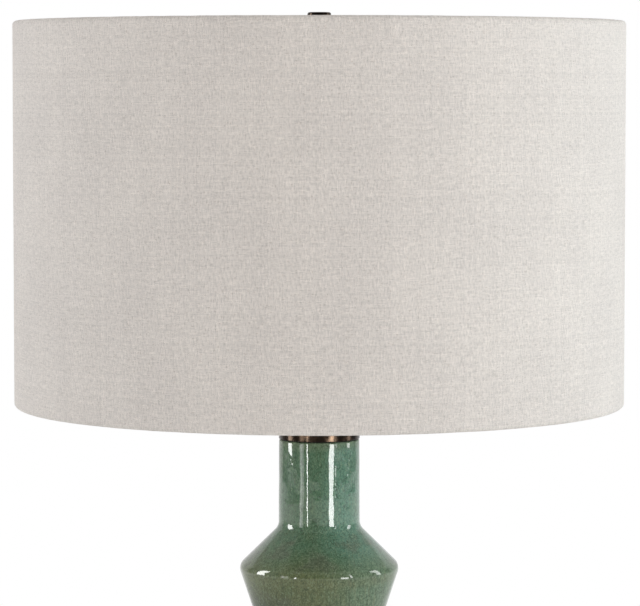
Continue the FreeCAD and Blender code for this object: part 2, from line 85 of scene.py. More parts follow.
# ---------------------------------------------------------------------------
# mesh helpers
# ---------------------------------------------------------------------------
def fillet_line(points, closed=False, step=7.5, along=None):
    """Points (r, z) of a polygon line whose corners (r, z, radius) are rounded. along is the longest straight step."""
    n = len(points)
    out = []
    for i, p in enumerate(points):
        rad = p[2] if len(p) > 2 else 0
        b = Vector((p[0], p[1]))
        if rad <= 0 or (not closed and i in (0, n - 1)):
            out.append(b)
            continue
        a, c = points[i - 1], points[(i + 1) % n]
        u = (Vector((a[0], a[1])) - b).normalized()
        w = (Vector((c[0], c[1])) - b).normalized()
        ang = u.angle(w)
        t = rad / math.tan(ang / 2)
        centre = b + (u + w).normalized() * (rad / math.sin(ang / 2))
        p0, p1 = b + u * t, b + w * t
        v0, v1 = p0 - centre, p1 - centre
        turn = math.pi - ang
        k = max(2, int(math.ceil(math.degrees(turn) / step)))
        sign = 1 if v0.x * v1.y - v0.y * v1.x > 0 else -1
        for j in range(k + 1):
            s = sign * turn * j / k
            out.append(centre + Vector((v0.x * math.cos(s) - v0.y * math.sin(s), v0.x * math.sin(s) + v0.y * math.cos(s))))
    if along:
        fine = []
        m = len(out)
        for i, p in enumerate(out):
            fine.append(p)
            if i == m - 1 and not closed:
                break
            q = out[(i + 1) % m]
            k = int((q - p).length // along)
            for j in range(1, k + 1):
                fine.append(p.lerp(q, j / (k + 1)))
        out = fine
    return [(p.x, p.y) for p in out]


def revolve(name, profile, angles, radial=None, lift=None, uv=None, sharp=35.0):
    """Closed solid of revolution from a closed profile in mm. Angle 0 is the front (-Y) and grows towards +X.
    radial(theta, k, r, z) and lift(theta, k, r, z) give small offsets in mm. uv is a list of v positions in mm, one per point."""
    prof = np.array(profile, float)
    ang = np.array(angles, float)
    na, npf = len(ang), len(prof)
    r = np.repeat(prof[None, :, 0], na, 0)
    z = np.repeat(prof[None, :, 1], na, 0)
    if radial is not None:
        r = r + np.array([[radial(t, k, prof[k, 0], prof[k, 1]) for k in range(npf)] for t in ang])
    if lift is not None:
        z = z + np.array([[lift(t, k, prof[k, 0], prof[k, 1]) for k in range(npf)] for t in ang])
    x = r * np.sin(ang)[:, None]
    y = -r * np.cos(ang)[:, None]
    co = np.stack([x, y, z], -1).reshape(-1, 3) * MM
    on_axis = prof[:, 0] < 1e-6
    index = np.arange(na * npf).reshape(na, npf)
    for k in np.nonzero(on_axis)[0]:
        index[:, k] = index[0, k]
    faces, vs = [], []
    sv = uv if uv is not None else [0.0] * (npf + 1)
    for a in range(na):
        b = (a + 1) % na
        ua = ang[a] * SHADE_R
        ub = (ang[b] if b else ang[0] + 2 * math.pi) * SHADE_R
        for k in range(npf):
            m = (k + 1) % npf
            if on_axis[k] and on_axis[m]:
                continue
            f = [index[a, k], index[b, k], index[b, m], index[a, m]]
            t = [(ua, sv[k]), (ub, sv[k]), (ub, sv[k + 1]), (ua, sv[k + 1])]
            if on_axis[k]:
                f, t = [f[0], f[2], f[3]], [t[0], t[2], t[3]]
            elif on_axis[m]:
                f, t = [f[0], f[1], f[2]], [t[0], t[1], t[2]]
            faces.append(f)
            vs.extend(t)
    used = np.unique(np.concatenate([np.array(f) for f in faces]))
    remap = -np.ones(na * npf, int)
    remap[used] = np.arange(len(used))
    faces = [[int(remap[i]) for i in f] for f in faces]
    me = bpy.data.meshes.new(name)
    me.from_pydata([tuple(c) for c in co[used]], [], faces)
    # outward faces: the signed volume is positive
    tri = [(f[0], f[i], f[i + 1]) for f in faces for i in range(1, len(f) - 1)]
    c = co[used]
    t = np.array(tri)
    vol = np.einsum("ij,ij->i", c[t[:, 0]], np.cross(c[t[:, 1]], c[t[:, 2]])).sum() / 6
    layer = me.uv_layers.new(name="weave")
    layer.data.foreach_set("uv", (np.array(vs, np.float32) * MM).ravel())
    if vol < 0:
        me.flip_normals()
    me.validate()
    finish_mesh(me, sharp)
    o = bpy.data.objects.new(name, me)
    scene.collection.objects.link(o)
    return o


def finish_mesh(me, sharp):
    """Smooth faces, with sharp edges where the angle is over sharp degrees."""
    me.polygons.foreach_set("use_smooth", [True] * len(me.polygons))
    me.update()
    normals = np.zeros(len(me.polygons) * 3, np.float32)
    me.polygons.foreach_get("normal", normals)
    normals = normals.reshape(-1, 3)
    edge_faces = {}
    for p in me.polygons:
        for e in p.edge_keys:
            edge_faces.setdefault(e, []).append(p.index)
    cos = math.cos(math.radians(sharp))
    flags = [len(edge_faces.get(tuple(sorted(e.vertices)), ())) == 2 and float(np.dot(*[normals[i] for i in edge_faces[tuple(sorted(e.vertices))]])) < cos
             for e in me.edges]
    attr = me.attributes.get("sharp_edge") or me.attributes.new("sharp_edge", "BOOLEAN", "EDGE")
    attr.data.foreach_set("value", flags)
    me.update()


def arc_lengths(profile):
    s = [0.0]
    n = len(profile)
    for i in range(n):
        a, b = profile[i], profile[(i + 1) % n]
        s.append(s[-1] + math.hypot(b[0] - a[0], b[1] - a[1]))
    return s


def n2(x, y, seed=0.0):
    return mnoise.noise(Vector((x, y, seed)))


# ---------------------------------------------------------------------------
# node helpers
# ---------------------------------------------------------------------------
class Sock:
    """A node socket that takes part in plain arithmetic."""

    def __init__(self, g, s):
        self.g, self.s = g, s

    def __add__(self, o): return self.g.math("ADD", self, o)
    def __radd__(self, o): return self.g.math("ADD", o, self)
    def __sub__(self, o): return self.g.math("SUBTRACT", self, o)
    def __rsub__(self, o): return self.g.math("SUBTRACT", o, self)
    def __mul__(self, o): return self.g.math("MULTIPLY", self, o)
    def __rmul__(self, o): return self.g.math("MULTIPLY", o, self)
    def __truediv__(self, o): return self.g.math("DIVIDE", self, o)
    def __pow__(self, o): return self.g.math("POWER", self, o)


class Mat:
    def __init__(self, name):
        self.m = bpy.data.materials.new(name)
        self.m.use_nodes = True
        self.t = self.m.node_tree
        self.t.nodes.clear()
        self.out = self.t.nodes.new("ShaderNodeOutputMaterial")
        self.b = self.t.nodes.new("ShaderNodeBsdfPrincipled")
        self.t.links.new(self.b.outputs[0], self.out.inputs[0])

    def put(self, socket, value):
        if isinstance(value, Sock):
            self.t.links.new(value.s, socket)
        elif value is not None:
            socket.default_value = value

    def node(self, kind, **props):
        n = self.t.nodes.new(kind)
        for k, v in props.items():
            setattr(n, k, v)
        return n

    def math(self, op, a, b=None, c=None, clamp=False):
        n = self.node("ShaderNodeMath", operation=op, use_clamp=clamp)
        for i, v in enumerate((a, b, c)):
            self.put(n.inputs[i], v)
        return Sock(self, n.outputs[0])

    def xyz(self):
        if not hasattr(self, "_xyz"):
            tc = self.node("ShaderNodeTexCoord")
            sp = self.node("ShaderNodeSeparateXYZ")
            self.t.links.new(tc.outputs["Object"], sp.inputs[0])
            self._xyz = [Sock(self, sp.outputs[i]) * 1000.0 for i in range(3)]
            self._obj = Sock(self, tc.outputs["Object"])
        return self._xyz

    def uv(self):
        if not hasattr(self, "_uv"):
            n = self.node("ShaderNodeUVMap", uv_map="weave")
            sp = self.node("ShaderNodeSeparateXYZ")
            self.t.links.new(n.outputs[0], sp.inputs[0])
            self._uv = [Sock(self, sp.outputs[i]) * 1000.0 for i in range(2)]
        return self._uv

    def vec(self, x, y=0.0, z=0.0):
        n = self.node("ShaderNodeCombineXYZ")
        for i, v in enumerate((x, y, z)):
            self.put(n.inputs[i], v)
        return Sock(self, n.outputs[0])

    def noise(self, vec, scale=1.0, detail=2.0, rough=0.5, dims="3D", distortion=0.0):
        n = self.node("ShaderNodeTexNoise", noise_dimensions=dims)
        self.put(n.inputs["Vector"], vec)
        n.inputs["Scale"].default_value = scale
        n.inputs["Detail"].default_value = detail
        n.inputs["Roughness"].default_value = rough
        n.inputs["Distortion"].default_value = distortion
        return Sock(self, n.outputs[0])

    def white(self, w):
        n = self.node("ShaderNodeTexWhiteNoise", noise_dimensions="1D")
        self.put(n.inputs["W"], w)
        return Sock(self, n.outputs["Value"])

    def voronoi(self, vec, scale, feature="DISTANCE_TO_EDGE", random=1.0, dims="3D"):
        n = self.node("ShaderNodeTexVoronoi", voronoi_dimensions=dims, feature=feature)
        self.put(n.inputs["Vector"], vec)
        n.inputs["Scale"].default_value = scale
        n.inputs["Randomness"].default_value = random
        return Sock(self, n.outputs["Distance"])

    def smooth(self, v, lo, hi, a=0.0, b=1.0):
        n = self.node("ShaderNodeMapRange", interpolation_type="SMOOTHSTEP")
        self.put(n.inputs[0], v)
        for i, x in zip((1, 2, 3, 4), (lo, hi, a, b)):
            self.put(n.inputs[i], x)
        return Sock(self, n.outputs[0])

    def line(self, v, lo, hi, a=0.0, b=1.0, clamp=True):
        n = self.node("ShaderNodeMapRange", clamp=clamp)
        self.put(n.inputs[0], v)
        for i, x in zip((1, 2, 3, 4), (lo, hi, a, b)):
            self.put(n.inputs[i], x)
        return Sock(self, n.outputs[0])

    def mix(self, f, a, b, mode="MIX"):
        n = self.node("ShaderNodeMix", data_type="RGBA", blend_type=mode)
        self.put(n.inputs[0], f)
        for i, v in ((6, a), (7, b)):
            self.put(n.inputs[i], v if isinstance(v, Sock) else (*v, 1.0))
        return Sock(self, n.outputs[2])

    def scale_colour(self, colour, k):
        """colour times the number k."""
        n = self.node("ShaderNodeVectorMath", operation="SCALE")
        if isinstance(colour, Sock):
            self.put(n.inputs[0], colour)
        else:
            n.inputs[0].default_value = colour
        self.put(n.inputs["Scale"], k)
        return Sock(self, n.outputs[0])

    def bump(self, height, distance, strength=1.0, normal=None):
        n = self.node("ShaderNodeBump")
        self.put(n.inputs["Height"], height)
        n.inputs["Distance"].default_value = distance
        n.inputs["Strength"].default_value = strength
        if normal is not None:
            self.put(n.inputs["Normal"], normal)
        return Sock(self, n.outputs[0])

    def set(self, **kw):
        names = {"color": "Base Color", "rough": "Roughness", "metal": "Metallic", "spec": "Specular IOR Level", "ior": "IOR",
                 "coat": "Coat Weight", "coat_rough": "Coat Roughness", "coat_ior": "Coat IOR", "coat_normal": "Coat Normal", "normal": "Normal",
                 "sheen": "Sheen Weight", "sheen_rough": "Sheen Roughness", "sheen_tint": "Sheen Tint",
                 "sss": "Subsurface Weight", "sss_scale": "Subsurface Scale", "aniso": "Anisotropic", "alpha": "Alpha", "transmission": "Transmission Weight"}
        for k, v in kw.items():
            s = self.b.inputs[names[k]]
            if k in ("color", "sheen_tint") and not isinstance(v, Sock):
                v = (*v, 1.0)
            self.put(s, v)
        return self.m


# ---------------------------------------------------------------------------
# materials
# ---------------------------------------------------------------------------
def linen(name="linen_weave"):
    """Plain weave of slubby flax threads on the cloth's own flat coordinates."""
    g = Mat(name)
    u, v = g.uv()
    pu, pv = 0.62, 0.70
    wander = g.noise(g.vec(u * 0.02, v * 0.012), 1.0, 1.0, 0.5, "2D")
    wander2 = g.noise(g.vec(u * 0.012 + 31.0, v * 0.02), 1.0, 1.0, 0.5, "2D")
    us = u + (wander - 0.5) * 2.4
    vs = v + (wander2 - 0.5) * 2.4
    uu, vv = us / pu, vs / pv
    i, j = g.math("FLOOR", uu), g.math("FLOOR", vv)
    fu, fv = g.math("FRACT", uu), g.math("FRACT", vv)
    rw, rf = g.white(i), g.white(j + 0.37)
    sw = g.noise(g.vec(i * 3.71, v / 3.4), 1.0, 2.0, 0.6, "2D")
    sf = g.noise(g.vec(u / 5.0, j * 3.71 + 91.0), 1.0, 2.0, 0.6, "2D")
    tw = (rw - 0.5) * 0.55 + (sw - 0.5) * 2.2
    tf = (rf - 0.5) * 0.50 + (sf - 0.5) * 1.8
    over = g.math("PINGPONG", (i + j), 1.0)
    su, sv = g.math("SINE", fu * math.pi), g.math("SINE", fv * math.pi)
    hw = su * (sv * 0.5 + 0.5)
    hf = sv * (su * 0.5 + 0.5)
    height = hw * over + hf * (1.0 - over)
    tone = tw * over + tf * (1.0 - over)
    # thread groups that run thick or thin together, in short lengths
    c1 = g.noise(g.vec(us / 0.95, v / 3.4), 1.0, 2.0, 0.6, "2D")
    c2 = g.noise(g.vec(u / 5.5 + 7.0, vs / 1.25), 1.0, 2.0, 0.6, "2D")
    c3 = g.noise(g.vec(u / 45.0, v / 60.0), 1.0, 2.0, 0.5, "2D")
    # the slight beat of thick and thin ends along the warp
    beat = g.math("SINE", us * (2 * math.pi * 0.363) + vs * (2 * math.pi * 0.105)) + g.math("SINE", us * (2 * math.pi * 0.486) - vs * (2 * math.pi * 0.105)) * 0.8
    k = 1.0 + tone * 0.21 + (c1 - 0.5) * 0.34 + (c2 - 0.5) * 0.28 + (c3 - 0.5) * 0.05 + beat * 0.020
    # painted shade: the colour darkens where the threads dip, in the hollows between them
    k = k * g.line(height, 0.0, 0.55, 0.80, 1.03)
    fleck = g.noise(g.vec(u / 0.9, v / 2.0), 1.0, 1.0, 0.5, "2D")
    fleck2 = g.noise(g.vec(u / 2.6 + 50.0, v / 0.8), 1.0, 1.0, 0.5, "2D")
    f = g.math("MAXIMUM", g.smooth(fleck, 0.68, 0.80), g.smooth(fleck2, 0.69, 0.80))
    warm = g.mix(g.smooth(c3, 0.35, 0.65), (0.790, 0.733, 0.686), (0.806, 0.748, 0.698))
    tan = (0.44, 0.36, 0.30)
    col = g.mix(f * 0.45, warm, tan)
    col = g.scale_colour(col, k)
    h = height * (0.75 + (sw - 0.5) * 0.6 + (sf - 0.5) * 0.4)
    nrm = g.bump(h, 0.00016, 0.75)
    return g.set(color=col, rough=0.95, spec=0.15, normal=nrm, sheen=0.03, sheen_rough=0.5)


def styrene():
    g = Mat("styrene_sheet")
    x, y, z = g.xyz()
    a = g.noise(g.vec(x / 30.0, y / 30.0, z / 30.0), 1.0, 3.0, 0.5)
    fine = g.noise(g.vec(x / 1.2, y / 1.2, z / 1.2), 1.0, 2.0, 0.5)
    col = g.mix(a, (0.80, 0.79, 0.755), (0.86, 0.85, 0.82))
    nrm = g.bump(fine, 0.00003, 0.6)
    return g.set(color=col, rough=g.line(a, 0.3, 0.7, 0.42, 0.55), spec=0.4, normal=nrm, sss=0.12, sss_scale=0.004)


def glaze():
    """Crackled green glaze: teal and green on the neck, olive lower down, in fine grains with a net of crackle."""
    g = Mat("crackle_glaze")
    x, y, z = g.xyz()
    p = g.vec(x, y, z)
    theta = g.math("ARCTAN2", x, y * -1.0)
    rad = g.math("SQRT", x * x + y * y)
    big = g.noise(g.vec(x / 34.0, y / 34.0, z / 46.0), 1.0, 3.0, 0.55)
    mid = g.noise(g.vec(x / 8.0, y / 8.0, z / 13.0), 1.0, 3.0, 0.6)
    grain = g.noise(g.vec(x / 0.85, y / 0.85, z / 1.5), 1.0, 2.0, 0.6)
    grain2 = g.noise(g.vec(x / 2.1, y / 2.1, z / 3.6), 1.0, 2.0, 0.6)
    streak = g.noise(g.vec(theta * rad / 1.3, rad / 30.0, z / 16.0), 1.0, 3.0, 0.6)
    # painted light: a share that rises towards +X, the side facing the key lights
    painted_light_right = g.smooth(x / g.math("MAXIMUM", rad, 1.0), -0.30, 0.62)
    # share of teal in the green, partly random and partly painted light, as the glaze is made more teal and brighter
    # towards +X, the side the key lights face; and share of olive below the shoulder's edge
    teal_and_painted_light_share = g.math("ADD", painted_light_right * 1.0 - 0.18, (big - 0.5) * 1.3 + (mid - 0.5) * 0.7, clamp=True)
    olive_share = g.math("ADD", g.smooth(z + (mid - 0.5) * 7.0, UPPER[1] + 20.0, UPPER[1] - 4.0) * 0.95, (big - 0.5) * 1.1 + (mid - 0.5) * 0.6, clamp=True)
    green = g.mix(mid, (0.084, 0.184, 0.104), (0.116, 0.222, 0.130))
    teal = g.mix(mid, (0.128, 0.290, 0.208), (0.152, 0.325, 0.246))
    olive = g.mix(mid, (0.112, 0.142, 0.056), (0.165, 0.190, 0.082))
    col = g.mix(olive_share * (1.0 - teal_and_painted_light_share * 0.40), g.mix(teal_and_painted_light_share, green, teal), olive)
    # brownish clouds on the shoulder, where the glaze is thin
    cloud = g.noise(g.vec(x / 19.0 + 4.0, y / 19.0, z / 15.0), 1.0, 3.0, 0.6)
    brown = g.smooth(cloud, 0.50, 0.68) * g.smooth(z, NECK_BASE[1] + 6.0, NECK_BASE[1] - 8.0)
    col = g.mix(brown * 0.55, col, (0.128, 0.140, 0.098))
    # streaks on the tapering walls
    wall = g.smooth(z, UPPER[1] + 3.0, UPPER[1] - 8.0) * 0.6 + 0.4
    col = g.mix(g.smooth(streak, 0.46, 0.76) * wall * 0.45, col, (0.230, 0.240, 0.120))
    col = g.mix(g.smooth(streak, 0.50, 0.26) * wall * 0.50, col, (0.050, 0.068, 0.034))
    # painted shade: the tapering wall is darkened on its left (-X) side, the side away from the key lights
    painted_shade_left = g.smooth(z, UPPER[1] - 4.0, UPPER[1] - 26.0) * g.smooth(x / g.math("MAXIMUM", rad, 1.0), -0.10, -0.75)
    col = g.mix(painted_shade_left * 0.55, col, (0.052, 0.064, 0.028))
    # the glaze runs thin over the rim and the sharp edges
    rim = g.smooth(NECK_TOP[1] - z + (mid - 0.5) * 3.0, 8.0, 0.5)
    edge = g.math("MAXIMUM", g.smooth(g.math("ABSOLUTE", z - (UPPER[1] - 5.5) + (mid - 0.5) * 5.0), 5.0, 0.5) * 0.45,
                  g.smooth(g.math("ABSOLUTE", z - (LOWER_Z - 2.0) + (mid - 0.5) * 5.0), 7.0, 0.8) * 0.6)
    edge = g.math("MAXIMUM", edge, g.smooth(z, FOOT_Z + 7.0, FOOT_Z + 1.5))
    col = g.mix(rim * (0.20 + mid * 0.6), col, (0.225, 0.255, 0.150))
    col = g.mix(edge * (0.30 + mid * 0.6), col, (0.205, 0.215, 0.105))
    # grains: pale crystals in a darker ground
    pale = g.smooth(grain * 0.62 + grain2 * 0.38, 0.50, 0.66)
    deep = g.smooth(grain * 0.70 + grain2 * 0.30, 0.50, 0.36)
    col = g.mix(pale * 0.46, col, (0.310, 0.400, 0.250))
    col = g.mix(deep * 0.58, col, (0.034, 0.060, 0.030))
    # crackle
    warp = g.noise(p, 1.0 / 7.0, 2.0, 0.5)
    pw = g.vec(x + (warp - 0.5) * 3.0, y + (mid - 0.5) * 3.0, z + (warp - 0.5) * 3.5)
    d1 = g.voronoi(pw, 1.0 / 3.4)
    d2 = g.voronoi(pw, 1.0 / 1.5)
    lines = g.math("MAXIMUM", g.smooth(d1, 0.045, 0.012), g.smooth(d2, 0.060, 0.015) * 0.45)
    col = g.mix(lines * (0.30 + mid * 0.35), col, (0.030, 0.044, 0.022))
    height = warp * 0.6 + g.noise(g.vec(x / 14.0, y / 14.0, z / 22.0), 1.0, 2.0, 0.5) * 2.2
    wave = g.bump(height, 0.00022, 0.55)
    micro = g.bump(lines * -1.0 + grain * 0.25, 0.00003, 0.5, wave)
    # bare clay on the foot ring
    clay = g.smooth(z + (mid - 0.5) * 1.2, FOOT_Z + 1.3, FOOT_Z + 0.9)
    col = g.mix(clay, col, (0.50, 0.42, 0.33))
    return g.set(color=col, rough=g.line(clay, 0.0, 1.0, 0.45, 0.85), spec=0.10, normal=micro, coat=g.line(clay, 0.0, 1.0, 1.0, 0.0), coat_rough=0.02,
                 coat_ior=1.50, coat_normal=wave)


def metal(name, dark, light, rough=(0.28, 0.42), wear=0.35, brushed=None, scale=1.0, metallic=1.0):
    """Plated metal with tone clouds, small pits and rubbed patches. brushed='turned' adds fine rings about Z."""
    g = Mat(name)
    x, y, z = g.xyz()
    p = g.vec(x, y, z)
    cloud = g.noise(p, 0.16 * scale, 4.0, 0.6)
    fine = g.noise(p, 1.6 * scale, 3.0, 0.6)
    pits = g.smooth(g.noise(p, 3.2 * scale, 2.0, 0.5), 0.70, 0.80)
    f = g.math("ADD", g.smooth(cloud, 0.42, 0.72) * wear, (fine - 0.5) * 0.35, clamp=True)
    col = g.mix(f, dark, light)
    col = g.mix(pits * 0.6, col, tuple(c * 0.4 for c in dark))
    h = fine * 0.5 - pits
    if brushed == "turned":
        rad = g.math("SQRT", x * x + y * y)
        h = h + g.noise(g.vec(rad * 6.0, z * 6.0, 0.0), 1.0, 2.0, 0.7) * 0.8
    elif brushed == "drawn":
        h = h + g.noise(g.vec(x * 4.0, y * 4.0, z * 0.12), 1.0, 2.0, 0.7) * 0.6
    nrm = g.bump(h, 0.00002, 0.5)
    return g.set(color=col, metal=metallic, rough=g.line(cloud, 0.3, 0.7, rough[0], rough[1]), normal=nrm)


def cast_iron():
    g = Mat("cast_iron_weight")
    x, y, z = g.xyz()
    p = g.vec(x, y, z)
    a = g.noise(p, 0.9, 5.0, 0.65)
    rust = g.smooth(g.noise(p, 0.12, 4.0, 0.6), 0.56, 0.70)
    col = g.mix(a, (0.035, 0.034, 0.033), (0.090, 0.087, 0.084))
    col = g.mix(rust * 0.5, col, (0.16, 0.075, 0.035))
    return g.set(color=col, rough=g.line(a, 0.3, 0.7, 0.65, 0.9), spec=0.4, normal=g.bump(a, 0.0004, 0.8))


def felt_mat():
    g = Mat("brown_felt")
    x, y, z = g.xyz()
    p = g.vec(x, y, z)
    fibre = g.noise(p, 1.6, 5.0, 0.75, distortion=1.6)
    cloud = g.noise(p, 0.08, 3.0, 0.5)
    col = g.mix(fibre, (0.030, 0.024, 0.019), (0.120, 0.098, 0.078))
    col = g.scale_colour(col, 0.8 + cloud * 0.4)
    return g.set(color=col, rough=0.97, spec=0.15, normal=g.bump(fibre, 0.0005, 0.9), sheen=0.35, sheen_rough=0.5)


def plastic(name, a, b, rough=(0.35, 0.5), grain=0.9, depth=0.00003, coat=0.0, spec=0.45):
    g = Mat(name)
    x, y, z = g.xyz()
    p = g.vec(x, y, z)
    cloud = g.noise(p, 0.12, 3.0, 0.5)
    fine = g.noise(p, grain, 3.0, 0.6)
    col = g.mix(cloud, a, b)
    return g.set(color=col, rough=g.line(fine, 0.3, 0.7, rough[0], rough[1]), spec=spec, normal=g.bump(fine, depth, 0.6), coat=coat, coat_rough=0.1)


def card():
    g = Mat("fibre_card")
    x, y, z = g.xyz()
    fibre = g.noise(g.vec(x / 1.1, y / 1.1, z / 3.0), 1.0, 4.0, 0.7, distortion=0.8)
    col = g.mix(fibre, (0.26, 0.19, 0.12), (0.46, 0.36, 0.25))
    return g.set(color=col, rough=0.88, spec=0.2, normal=g.bump(fibre, 0.0001, 0.6))


def soft_white_glass():
    g = Mat("soft_white_glass")
    x, y, z = g.xyz()
    p = g.vec(x, y, z)
    coat = g.noise(p, 0.10, 3.0, 0.5)
    fine = g.noise(p, 2.0, 2.0, 0.5)
    low = g.smooth(z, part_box("bulb_glass")[0].z * 1000 + 12.0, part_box("bulb_glass")[0].z * 1000 + 34.0)
    col = g.mix(coat, (0.86, 0.855, 0.83), (0.92, 0.915, 0.895))
    col = g.mix(low, (0.74, 0.735, 0.71), col)
    return g.set(color=col, rough=0.16, spec=0.5, normal=g.bump(fine, 0.00001, 0.4), sss=0.25, sss_scale=0.006, coat=0.4, coat_rough=0.05)


def inner_glass():
    g = Mat("stem_glass")
    x, y, z = g.xyz()
    a = g.noise(g.vec(x, y, z), 0.3, 2.0, 0.5)
    return g.set(color=g.mix(a, (0.78, 0.82, 0.82), (0.86, 0.89, 0.89)), rough=0.08, spec=0.5, normal=g.bump(a, 0.00002, 0.3))


M = {
    "linen": linen(),
    "styrene": styrene(),
    "glaze": glaze(),
    "bronze": metal("dark_bronze", (0.030, 0.021, 0.015), (0.150, 0.100, 0.066), (0.12, 0.22), 0.45, "turned"),
    "pan_metal": metal("pan_bronze", (0.050, 0.030, 0.019), (0.22, 0.130, 0.075), (0.30, 0.44), 0.40, "turned", 0.7),
    "frame_wire": metal("frame_bronze", (0.085, 0.052, 0.030), (0.30, 0.19, 0.110), (0.34, 0.48), 0.40, "drawn"),
    "harp_wire": metal("harp_bronze", (0.095, 0.060, 0.033), (0.34, 0.22, 0.120), (0.28, 0.42), 0.45, "drawn"),
    "antique_brass": metal("antique_brass", (0.20, 0.125, 0.055), (0.52, 0.36, 0.175), (0.28, 0.42), 0.60, "turned"),
    "contact_brass": metal("bright_brass", (0.50, 0.35, 0.14), (0.78, 0.58, 0.27), (0.20, 0.34), 0.60, "turned"),
    "zinc": metal("zinc_plate", (0.42, 0.42, 0.41), (0.66, 0.66, 0.64), (0.28, 0.42), 0.60, None),
    "lamp_metal": metal("lamp_base_metal", (0.55, 0.54, 0.52), (0.78, 0.77, 0.75), (0.22, 0.34), 0.60, "turned"),
    "tungsten": metal("grey_wire", (0.16, 0.16, 0.16), (0.34, 0.34, 0.34), (0.35, 0.5), 0.5, None),
    "iron": cast_iron(),
    "felt": felt_mat(),
    "rubber": plastic("black_rubber", (0.018, 0.018, 0.018), (0.035, 0.034, 0.033), (0.55, 0.75), 1.2, 0.00005, spec=0.35),
    "phenolic": plastic("black_phenolic", (0.016, 0.014, 0.012), (0.034, 0.030, 0.026), (0.38, 0.55), 1.0, 0.00004),
    "knob_plastic": plastic("brown_phenolic", (0.028, 0.015, 0.009), (0.060, 0.032, 0.019), (0.22, 0.34), 0.6, 0.00002, coat=0.3),
    "vitrite": plastic("black_glass", (0.010, 0.010, 0.014), (0.020, 0.020, 0.026), (0.08, 0.16), 0.5, 0.00001, coat=0.5),
    "liner_card": card(),
    "frosted_glass": soft_white_glass(),
    "clear_glass": inner_glass(),
}
slot_of = {s["node"]: s["material_slot"] for s in frame["record"]["subparts"]}
for n, o in nodes.items():
    for k in range(len(o.material_slots)):
        o.material_slots[k].material = M[slot_of[n]]

# ---------------------------------------------------------------------------
# the drum shade's cloth: one strip rolled over both wire rings, lapped at the back
# ---------------------------------------------------------------------------
SEAM_W = 10.0


def hem_lines(zc, s):
    """Outer and inner line of one rolled hem, from the wall to the tail's end."""
    outer, inner = [], []
    for d in range(0, 211, 10):
        a = math.radians(d)
        outer.append((RC + ROLL_R * math.cos(a), zc + s * ROLL_R * math.sin(a)))
        inner.append((RC + (ROLL_R - FABRIC_T) * math.cos(a), zc + s * (ROLL_R - FABRIC_T) * math.sin(a)))
    slope = -math.sqrt(3)
    po, pi = outer[-1], inner[-1]
    ko = (RL - FABRIC_T, po[1] + s * slope * (RL - FABRIC_T - po[0]))
    ki = (RL, pi[1] + s * slope * (RL - pi[0]))
    end = zc - s * TAIL_L
    for a, b in ((ko, (ko[0], end)),):
        outer += [a] + [(a[0], a[1] + (b[1] - a[1]) * t) for t in (0.35, 0.7)] + [b]
    inner += [ki, (ki[0], end)]
    return outer, inner


to, ti = hem_lines(ZT, 1)
bo, bi = hem_lines(ZB, -1)
wall_out = [(SHADE_R, ZB + (ZT - ZB) * t / 28) for t in range(1, 28)]
wall_in = [(RI, ZB + (ZT - ZB) * t / 4) for t in range(1, 4)]
outer = bo[::-1] + wall_out + to
inner = ti[::-1] + wall_in[::-1] + bi
cloth_profile = outer + inner
n_out = len(outer)
out_len = arc_lengths(cloth_profile)
top_arc = {k for k, p in enumerate(outer) if p[1] > ZT + 0.1}
bot_arc = {k for k, p in enumerate(outer) if p[1] < ZB - 0.1}
tail = {k for k, p in enumerate(outer) if p[0] < RL and ZB < p[1] < ZT}

seam_deg = math.degrees(1.0 / SHADE_R)
angles = [math.radians(-180 + 360 * k / 480) for k in range(480)]
near = [x * seam_deg for x in (-SEAM_W / 2 - 0.5, -SEAM_W / 2 - 0.12, -SEAM_W / 2 + 0.12, -SEAM_W / 2 + 0.8, SEAM_W / 2 - 0.8, SEAM_W / 2 - 0.12, SEAM_W / 2 + 0.12, SEAM_W / 2 + 0.5)]
angles = [a for a in angles if all(abs(((math.degrees(a) + 180 - d) + 180) % 360 - 180) > 0.12 for d in near)]
angles += [math.radians(((d + 180 + 180) % 360) - 180) for d in near]
angles = sorted(angles)


def seam_step(theta):
    """1 on the lapped strip at the back, 0 elsewhere, with a short rounded step."""
    d = abs(abs(theta) - math.pi) * SHADE_R
    t = (SEAM_W / 2 + 0.12 - d) / 0.24
    return 0.0 if t <= 0 else 1.0 if t >= 1 else t * t * (3 - 2 * t)


def cloth_radial(theta, k, r, z):
    if k >= n_out:
        return 0.0
    x, y = math.sin(theta) * 9.0, math.cos(theta) * 9.0
    v = 0.50 * seam_step(theta)
    if k in top_arc or k in bot_arc:
        # small ripples where the cloth is drawn over the wire
        w = mnoise.noise(Vector((x * 3.2, y * 3.2, 3.0 if k in top_arc else 9.0)))
        return v * 0.6 + 0.10 * w
    if k in tail:
        return -0.5 * v - 0.10 * abs(mnoise.noise(Vector((x * 4.0, y * 4.0, z * 0.05))))
    return v + 0.16 * mnoise.noise(Vector((x * 0.6, y * 0.6, z / 90.0)))


def cloth_lift(theta, k, r, z):
    if k >= n_out:
        return 0.0
    x, y = math.sin(theta) * 9.0, math.cos(theta) * 9.0
    if k in top_arc:
        return 0.12 * mnoise.noise(Vector((x * 2.4, y * 2.4, 21.0)))
    if k in bot_arc:
        return 0.12 * mnoise.noise(Vector((x * 2.4, y * 2.4, 27.0)))
    if k in (0, n_out - 1) or k in tail and abs(z - (ZT - TAIL_L)) < 0.2 or k in tail and abs(z - (ZB + TAIL_L)) < 0.2:
        return 0.55 * mnoise.noise(Vector((x * 1.6, y * 1.6, 33.0)))
    return 0.0


cloth = revolve("shade_cloth", cloth_profile, angles, cloth_radial, cloth_lift, uv=out_len, sharp=50)
cloth.data.materials.append(M["linen"])
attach(cloth, "shade")
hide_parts("shade_fabric")

